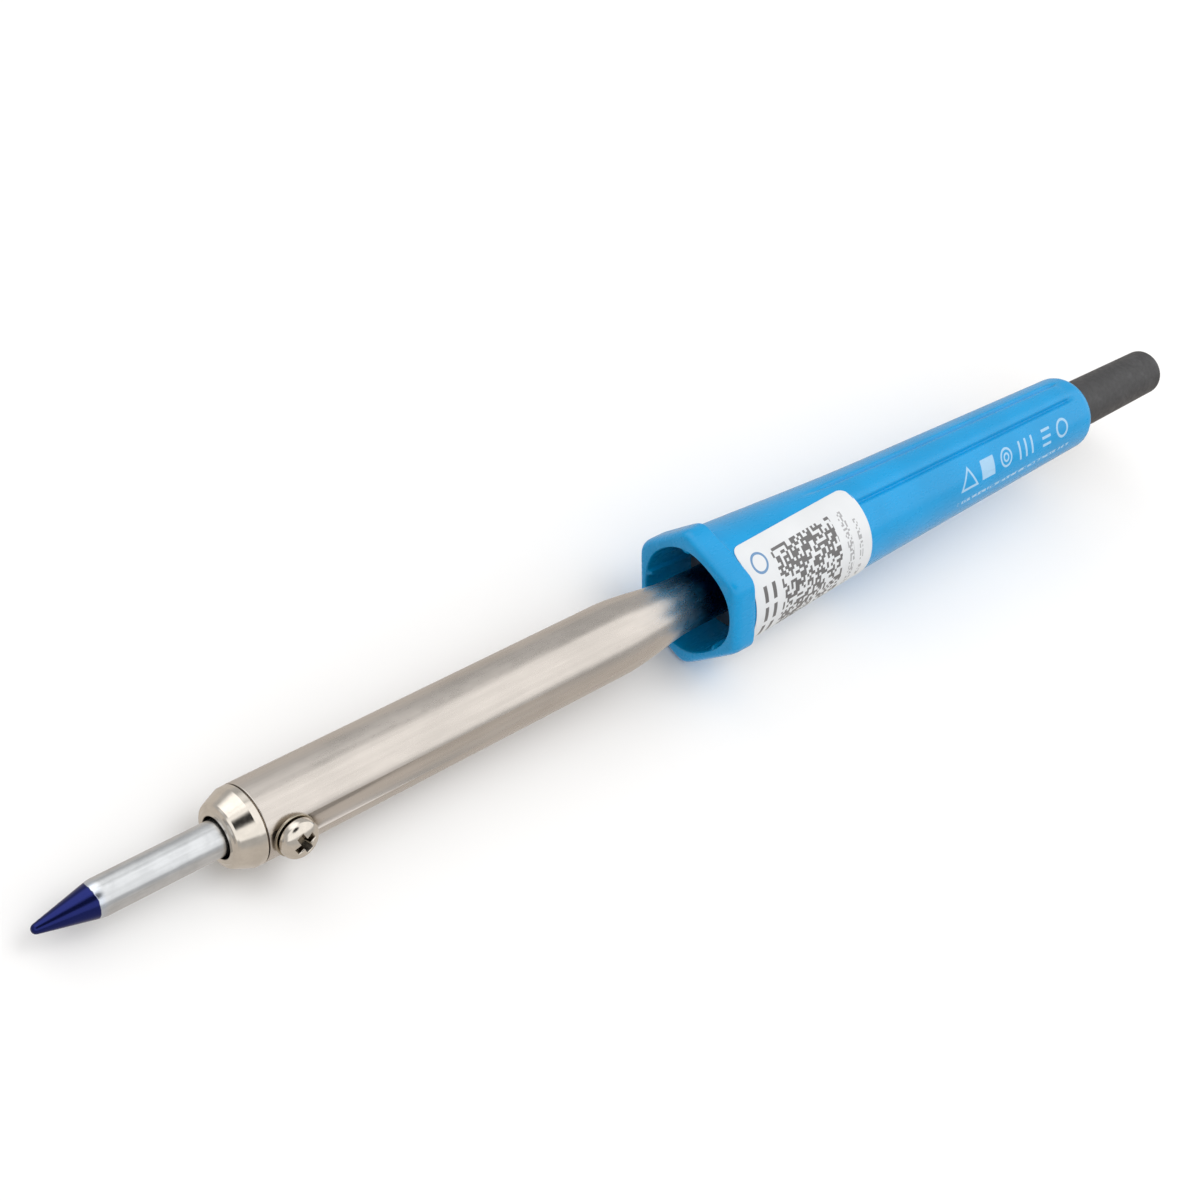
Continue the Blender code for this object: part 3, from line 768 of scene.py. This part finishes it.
def collar_nickel(name):
    """Polished plating, with brown heat stain in and just round the bore."""
    n, plated = polished_nickel(name, 0.10)
    inner, outer = BORE_MOUTH_R - 0.1, BORE_MOUTH_R + 0.25
    reach = n.squared_sum(*n.xyz()[1:])
    stain_and_shade = n.remap(reach, (inner * MM) ** 2, (outer * MM) ** 2, 0.9, 0.0)
    n.colour(n.mix(stain_and_shade, plated, BORE_STAIN))
    return n.material


def screw_nickel(name):
    """Bright plating, with painted shade deepening into the cross recess under the head's crown, and painted shade
    over a brown oxide tone on the washer and the shank under the head.
    """
    n, plated = polished_nickel(name, 0.13)
    x, y, z = n.xyz()
    reach = n.squared_sum(y, z)
    share = n.math("DIVIDE", reach, (SCREW_HEAD_R * MM) ** 2)
    crown = n.math("POWER", n.math("SUBTRACT", 1.0, share, clamp=True), CROWN_POWER / 2)
    surface = n.math("MULTIPLY_ADD", crown, -CROWN_H * MM, -CROWN_BASE * MM)
    depth = n.math("SUBTRACT", x, surface)
    inside = n.remap(reach, (2.6 * MM) ** 2, (2.9 * MM) ** 2, 1.0, 0.0)
    # Painted shade: the cross recess darkens with its depth under the crown
    recess = n.math("MULTIPLY", n.remap(depth, 0.08 * MM, 0.6 * MM, 0.0, 0.85), inside)
    # Painted shade over a brown oxide tone on the washer and the shank under the head
    beneath = n.remap(x, -HEAD_BASE * MM, (-HEAD_BASE + 0.1) * MM, 0.0, 0.6)
    n.colour(n.mix(recess, n.mix(beneath, plated, WASHER_OXIDE_AND_SHADE), RECESS_SHADE))
    return n.material


def plated_bit(name):
    """Silver plating with fine lines along the bit, and dark blue lacquer on its cone."""
    silver = (0.68, 0.70, 0.72)
    n = Nodes(name, silver, 0.24, 1.0)
    lines = n.noise(1500.0, 4.0, 0.6, (0.03, 1.0, 1.0))
    cloud = n.noise(260.0, 3.0, 0.6)
    plated = n.tones(n.math("ADD", lines, cloud), 0.7, 1.3, silver, 0.88, 1.05)
    edge = n.math("MULTIPLY_ADD", n.noise(330.0, 2.0), LACQUER_RAGGED, n.xyz()[0])
    fade, clear = LACQUER_END + 0.5, LACQUER_END + 0.62
    coated = n.remap(edge, fade * MM, clear * MM, 1.0, 0.0, "LINEAR")
    rim = n.remap(edge, (LACQUER_END + 0.6) * MM, (LACQUER_END + 2.4) * MM, 1.0, 0.0)
    blue = n.mix(n.noise(90.0, 1.0), *LACQUER_BLUES)
    pale = n.mix(n.math("MULTIPLY", rim, 0.5), plated, RIM_BLOOM)
    n.colour(n.mix(coated, pale, blue))
    n.roughness(n.remap(coated, 0.0, 1.0, 0.25, 0.2, "LINEAR"))
    n.feed(n.shader.inputs["Metallic"], n.remap(coated, 0.0, 1.0, 1.0, 0.85, "LINEAR"))
    n.bump(coated, 0.00005)
    n.bump(lines, 0.000008)
    n.bump(n.noise(1100.0, 3.0), 0.000006)
    return n.material


class Print:
    """Masks for flat printed marks, from two coordinates in millimetres."""

    def __init__(self, nodes, u, v):
        self.n, self.u, self.v = nodes, u, v

    def near(self, value, centre, half):
        away = self.n.math("ABSOLUTE", self.n.math("SUBTRACT", value, centre))
        return self.n.remap(away, half - PRINT_BLUR, half + PRINT_BLUR, 1.0, 0.0, "LINEAR")

    def block(self, u0, u1, v0, v1):
        return self.n.math("MULTIPLY", self.near(self.u, (u0 + u1) / 2, (u1 - u0) / 2),
                           self.near(self.v, (v0 + v1) / 2, (v1 - v0) / 2))

    def ring(self, u0, v0, radius, half):
        du = self.n.math("SUBTRACT", self.u, u0)
        dv = self.n.math("SUBTRACT", self.v, v0)
        return self.near(self.n.math("SQRT", self.n.squared_sum(du, dv)), radius, half)

    def triangle(self, u0, v0, v1, wide, half):
        """The outline of a triangle that points to (u0, v0)."""
        slope = math.atan2(v1 - v0, wide / 2)
        across = self.n.math("ABSOLUTE", self.n.math("SUBTRACT", self.u, u0))
        down = self.n.math("SUBTRACT", self.v, v0)
        side = self.n.math("SUBTRACT", self.n.math("MULTIPLY", across, math.sin(slope)),
                           self.n.math("MULTIPLY", down, math.cos(slope)))
        base = self.n.math("SUBTRACT", self.v, v1)
        return self.near(self.n.math("MAXIMUM", side, base), -half, half)

    def cells(self, size, share):
        """A random mosaic of square cells that stands for a printed code and holds none."""
        joined = self.n.add("ShaderNodeCombineXYZ")
        for socket, value in zip(joined.inputs, (self.u, self.v)):
            self.n.feed(socket, self.n.math("FLOOR", self.n.math("DIVIDE", value, size)))
        chance = self.n.add("ShaderNodeTexWhiteNoise", noise_dimensions="2D")
        self.n.feed(chance.inputs["Vector"], joined.outputs[0])
        return self.n.math("LESS_THAN", chance.outputs["Value"], share)

    def joined(self, masks):
        total = masks[0]
        for mask in masks[1:]:
            total = self.n.math("MAXIMUM", total, mask)
        return total


def grip_marks(n):
    """Plain marks printed along the grip: a triangle, a block, rings, bars and a row of dashes."""
    x, y, z = n.xyz()
    turn = n.math("ARCTAN2", n.math("MULTIPLY", y, -1.0), z)
    marks = Print(n, n.math("MULTIPLY", x, 1 / MM), n.math("MULTIPLY", turn, GRIP_PRINT_R))
    top, bottom = GRIP_ROW
    middle = 7.4
    shapes = [marks.triangle(245.2, 4.9, 10.2, 7.2, 0.28), marks.block(250.3, 255.6, top, bottom),
              marks.ring(260.6, middle, 2.1, 0.28), marks.ring(260.6, middle, 0.9, 0.25),
              marks.ring(284.8, middle, 2.2, 0.34)]
    shapes += [marks.block(u, u + 0.75, top, bottom) for u in (266.0, 268.6, 271.2)]
    shapes += [marks.block(276.0, 279.6, v, v + 0.7) for v in (5.3, 7.2, 9.1)]
    dashes = n.math("MULTIPLY", marks.block(240.8, 288.0, 12.5, 13.3), marks.cells(0.55, 0.6))
    return marks.joined(shapes + [dashes])


def blue_plastic(name):
    colour = (0.0, 0.30, 0.64)
    n = Nodes(name, colour, 0.26, Specular_IOR_Level=0.35, Coat_Weight=0.12, Coat_Roughness=0.12)
    blue = n.tones(n.noise(60.0, 2.0), 0.3, 0.7, colour, 0.95, 1.05)
    n.colour(n.mix(n.math("MULTIPLY", grip_marks(n), GRIP_PRINT_SHARE), blue, GRIP_PRINT))
    n.sheen(n.noise(420.0, 4.0, 0.6, (0.4, 1.0, 1.0)), 0.22, 0.33)
    n.bump(n.noise(700.0, 3.0), 0.000012)
    n.bump(n.noise(140.0, 2.0, 0.5, (0.3, 1.0, 1.0)), 0.00003)
    return n.material


def black_rubber(name):
    colour = (0.038, 0.038, 0.040)
    n = Nodes(name, colour, 0.5)
    n.colour(n.tones(n.noise(260.0, 4.0, 0.65), 0.45, 0.75, colour, 1.0, 1.45))
    n.sheen(n.noise(900.0, 4.0), 0.42, 0.6)
    n.bump(n.noise(2600.0, 4.0, 0.7), 0.00002)
    return n.material


def label_film(name):
    """A white film with generic print: a ring, bars, a random mosaic and two rows of dashes."""
    white = (0.71, 0.73, 0.75)
    n = Nodes(name, white, 0.34)
    u, v = n.xyz(n.add("ShaderNodeUVMap", uv_map="flat").outputs[0])[:2]
    marks = Print(n, n.math("MULTIPLY", u, FLAT_UNIT), n.math("MULTIPLY", v, FLAT_UNIT))
    mosaic = n.math("MULTIPLY", marks.block(9.2, 30.3, 4.2, 25.4), marks.cells(0.70, 0.52))
    bars = [marks.block(u0, u0 + 1.15, v0, v0 + 3.8)
            for u0 in (3.0, 5.9) for v0 in (10.6, 15.6, 20.6)]
    rows = [marks.block(32.6, 34.6, 4.6, 26.0), marks.block(36.6, 37.8, 7.6, 23.0)]
    dashes = n.math("MULTIPLY", marks.joined(rows), marks.cells(0.5, 0.45))
    paper = n.tones(n.noise(90.0, 2.0), 0.3, 0.7, white, 0.97, 1.02)
    inked = n.mix(n.math("MULTIPLY", dashes, 0.55), paper, DASH_INK)
    inked = n.mix(n.math("MULTIPLY", marks.joined([mosaic] + bars), 0.88), inked, BLACK_INK)
    ring = marks.ring(4.9, 5.6, 2.2, 0.3)
    n.colour(n.mix(n.math("MULTIPLY", ring, 0.85), inked, BLUE_INK))
    n.sheen(n.noise(300.0, 3.0), 0.28, 0.42)
    n.bump(n.noise(1500.0, 3.0), 0.00001)
    return n.material


def braided_sleeving(name):
    """Glass fibre with fine turns round the wire."""
    n = plain(name, (0.80, 0.78, 0.71), 0.85)
    wave = n.add("ShaderNodeTexWave", bands_direction="X")
    n.feed(wave.inputs["Vector"], n.stretched((1.0, 0.6, 0.0)))
    wave.inputs["Scale"].default_value = 900.0
    wave.inputs["Distortion"].default_value = 1.5
    n.bump(wave.outputs["Fac"], 0.00006)
    return n.material


SPECIAL_LOOKS = {
    "bit": plated_bit,
    "collar_nickel": collar_nickel,
    "fastener_nickel": screw_nickel,
    "barrel_nickel": satin_nickel,
    "handle_plastic": blue_plastic,
    "sleeve_rubber": black_rubber,
    "label_film": label_film,
    "glass_fibre": braided_sleeving,
}

# Colour, roughness and metallic of the plain surfaces, then what else differs
PLAIN_LOOKS = {
    "socket_steel": ((0.40, 0.33, 0.27), 0.42, 1.0, dict(scale=500.0, spread=0.3)),
    "plate_steel": ((0.24, 0.24, 0.25), 0.42, 1.0, dict(scale=700.0, spread=0.12)),
    "mica": ((0.24, 0.19, 0.12), 0.32, 0.0, dict(scale=300.0, spread=0.3, Coat_Weight=0.3)),
    "ceramic": ((0.84, 0.81, 0.74), 0.5, 0.0, dict(scale=1500.0, spread=0.06, depth=0.00006)),
    "resistance_wire": ((0.36, 0.34, 0.32), 0.42, 1.0, dict(scale=900.0, spread=0.3)),
    "lead_nickel": ((0.60, 0.57, 0.52), 0.34, 1.0, dict(scale=1200.0, spread=0.1)),
    "earth_wire": ((0.10, 0.38, 0.12), 0.45, 0.0, dict(scale=800.0, spread=0.1)),
    "terminal_brass": ((0.74, 0.53, 0.22), 0.27, 1.0, dict(scale=900.0, spread=0.12)),
}


def make_materials():
    made = {name: look(name) for name, look in SPECIAL_LOOKS.items()}
    for name, (colour, roughness, metallic, rest) in PLAIN_LOOKS.items():
        made[name] = plain(name, colour, roughness, metallic, **rest).material
    return made


MATERIALS = make_materials()


def dress_cad_nodes():
    for part in frame["record"]["subparts"]:
        obj = frame["nodes"][part["node"]]
        obj.data.materials.clear()
        obj.data.materials.append(MATERIALS[part["material_slot"]])
        obj.data.shade_smooth()
        obj.data.set_sharp_from_angle(angle=math.radians(CAD_SHARP_ANGLE))


# Studio

CAMERA_AT = (-0.29915, -0.12018, 0.31031)
CAMERA_FORWARD = (0.64232, 0.30575, -0.70281)
CAMERA_UP = (0.31581, 0.72993, 0.60619)
CAMERA_LENS = 60.0
CAMERA_SENSOR = 36.0
CAMERA_CLIP = (0.01, 60.0)
FLOOR_HALF = 20000.0
FLOOR_GREYS = ((0.87, 0.87, 0.87), (0.89, 0.89, 0.89))
LIGHT_AT = (0.25, -0.25, 1.2)
LIGHT_SIZE = (0.9, 0.7)
LIGHT_POWER = 4.2
# The world: strength below and above the horizon, and what the overhead band adds to it
ROOM_LEVELS = (0.62, 0.52)
OVERHEAD_LEVEL = 0.68
# Where the overhead band starts and ends, in degrees round the X axis, and along -X
OVERHEAD_START = (60, 70)
OVERHEAD_END = (161, 152)
OVERHEAD_REACH = (-0.95, -0.8)
# One bright and one dark patch: direction, the angles where it is full and gone, and its level
BRIGHT_PATCH = ((-0.09, 0.70, 0.70), 9, 34, 1.1)
DARK_PATCH = ((-0.20, -0.22, 0.955), 12, 22, 0.97)
TINT_BELOW = (1.0, 0.93, 0.86, 1.0)
TINT_ABOVE = (1.0, 0.99, 0.98, 1.0)


def make_camera():
    data = bpy.data.cameras.new("camera")
    data.lens = CAMERA_LENS
    data.sensor_width = CAMERA_SENSOR
    data.clip_start, data.clip_end = CAMERA_CLIP
    obj = bpy.data.objects.new("camera", data)
    bpy.context.scene.collection.objects.link(obj)
    back = -Vector(CAMERA_FORWARD).normalized()
    right = Vector(CAMERA_UP).cross(back).normalized()
    turn = Matrix((right, back.cross(right), back)).transposed().to_4x4()
    obj.matrix_world = Matrix.Translation(CAMERA_AT) @ turn
    bpy.context.scene.camera = obj


def make_floor():
    bm = bmesh.new()
    bmesh.ops.create_grid(bm, x_segments=4, y_segments=4, size=FLOOR_HALF)
    obj = piece("floor", bm, Matrix.Identity(4))
    n = Nodes("floor", (0.88, 0.88, 0.88), 0.9)
    n.colour(n.mix(n.noise(30.0, 2.0), *FLOOR_GREYS))
    obj.data.materials.append(n.material)
    obj.visible_glossy = False


def make_world():
    """A pale room drawn by direction: a broad band of light overhead and two soft patches."""
    world = bpy.data.worlds.new("studio")
    bpy.context.scene.world = world
    world.use_nodes = True
    tree = world.node_tree
    background = tree.nodes["Background"]

    def add(kind, **settings):
        made = tree.nodes.new(kind)
        for key, value in settings.items():
            setattr(made, key, value)
        return made

    def feed(socket, value):
        if isinstance(value, bpy.types.NodeSocket):
            tree.links.new(value, socket)
        else:
            socket.default_value = value

    def calc(operation, *values):
        made = add("ShaderNodeMath", operation=operation)
        for socket, value in zip(made.inputs, values):
            feed(socket, value)
        return made.outputs[0]

    def ramp(value, low, high, to_low=0.0, to_high=1.0):
        made = add("ShaderNodeMapRange", interpolation_type="SMOOTHSTEP")
        for socket, number in zip(made.inputs, (value, low, high, to_low, to_high)):
            feed(socket, number)
        return made.outputs[0]

    look = add("ShaderNodeTexCoord").outputs["Generated"]
    split = add("ShaderNodeSeparateXYZ")
    feed(split.inputs[0], look)
    x, y, z = split.outputs

    def patch(direction, inner, outer, level):
        made = add("ShaderNodeVectorMath", operation="DOT_PRODUCT")
        feed(made.inputs[0], look)
        made.inputs[1].default_value = Vector(direction).normalized()
        return ramp(made.outputs["Value"], math.cos(math.radians(outer)),
                    math.cos(math.radians(inner)), 0.0, level)

    round_axis = calc("ARCTAN2", z, y)
    overhead = calc("MULTIPLY", ramp(round_axis, *map(math.radians, OVERHEAD_START)),
                    ramp(round_axis, *map(math.radians, OVERHEAD_END)))
    overhead = calc("MULTIPLY", overhead, ramp(x, *OVERHEAD_REACH))
    level = ramp(z, -0.12, 0.12, *ROOM_LEVELS)
    level = calc("ADD", level, calc("MULTIPLY", overhead, OVERHEAD_LEVEL))
    level = calc("ADD", level, patch(*BRIGHT_PATCH))
    level = calc("MULTIPLY", level, calc("SUBTRACT", 1.0, patch(*DARK_PATCH)))
    tint = add("ShaderNodeMix", data_type="RGBA")
    feed(tint.inputs[0], ramp(z, -0.2, 0.2))
    tint.inputs[6].default_value = TINT_BELOW
    tint.inputs[7].default_value = TINT_ABOVE
    feed(background.inputs["Color"], tint.outputs[2])
    feed(background.inputs["Strength"], level)


def make_light():
    data = bpy.data.lights.new("soft_key", "AREA")
    data.shape = "RECTANGLE"
    data.size, data.size_y = LIGHT_SIZE
    data.energy = LIGHT_POWER
    obj = bpy.data.objects.new("soft_key", data)
    bpy.context.scene.collection.objects.link(obj)
    obj.location = LIGHT_AT
    obj.rotation_euler = Vector(LIGHT_AT).to_track_quat("Z", "Y").to_euler()
    obj.visible_glossy = False


dress_cad_nodes()
make_bit()
make_collar()
make_barrel()
make_washer()
make_set_screw()
make_handle()
make_sleeve()
make_label()
make_camera()
make_floor()
make_world()
make_light()
bpy.context.scene.view_settings.view_transform = "Standard"
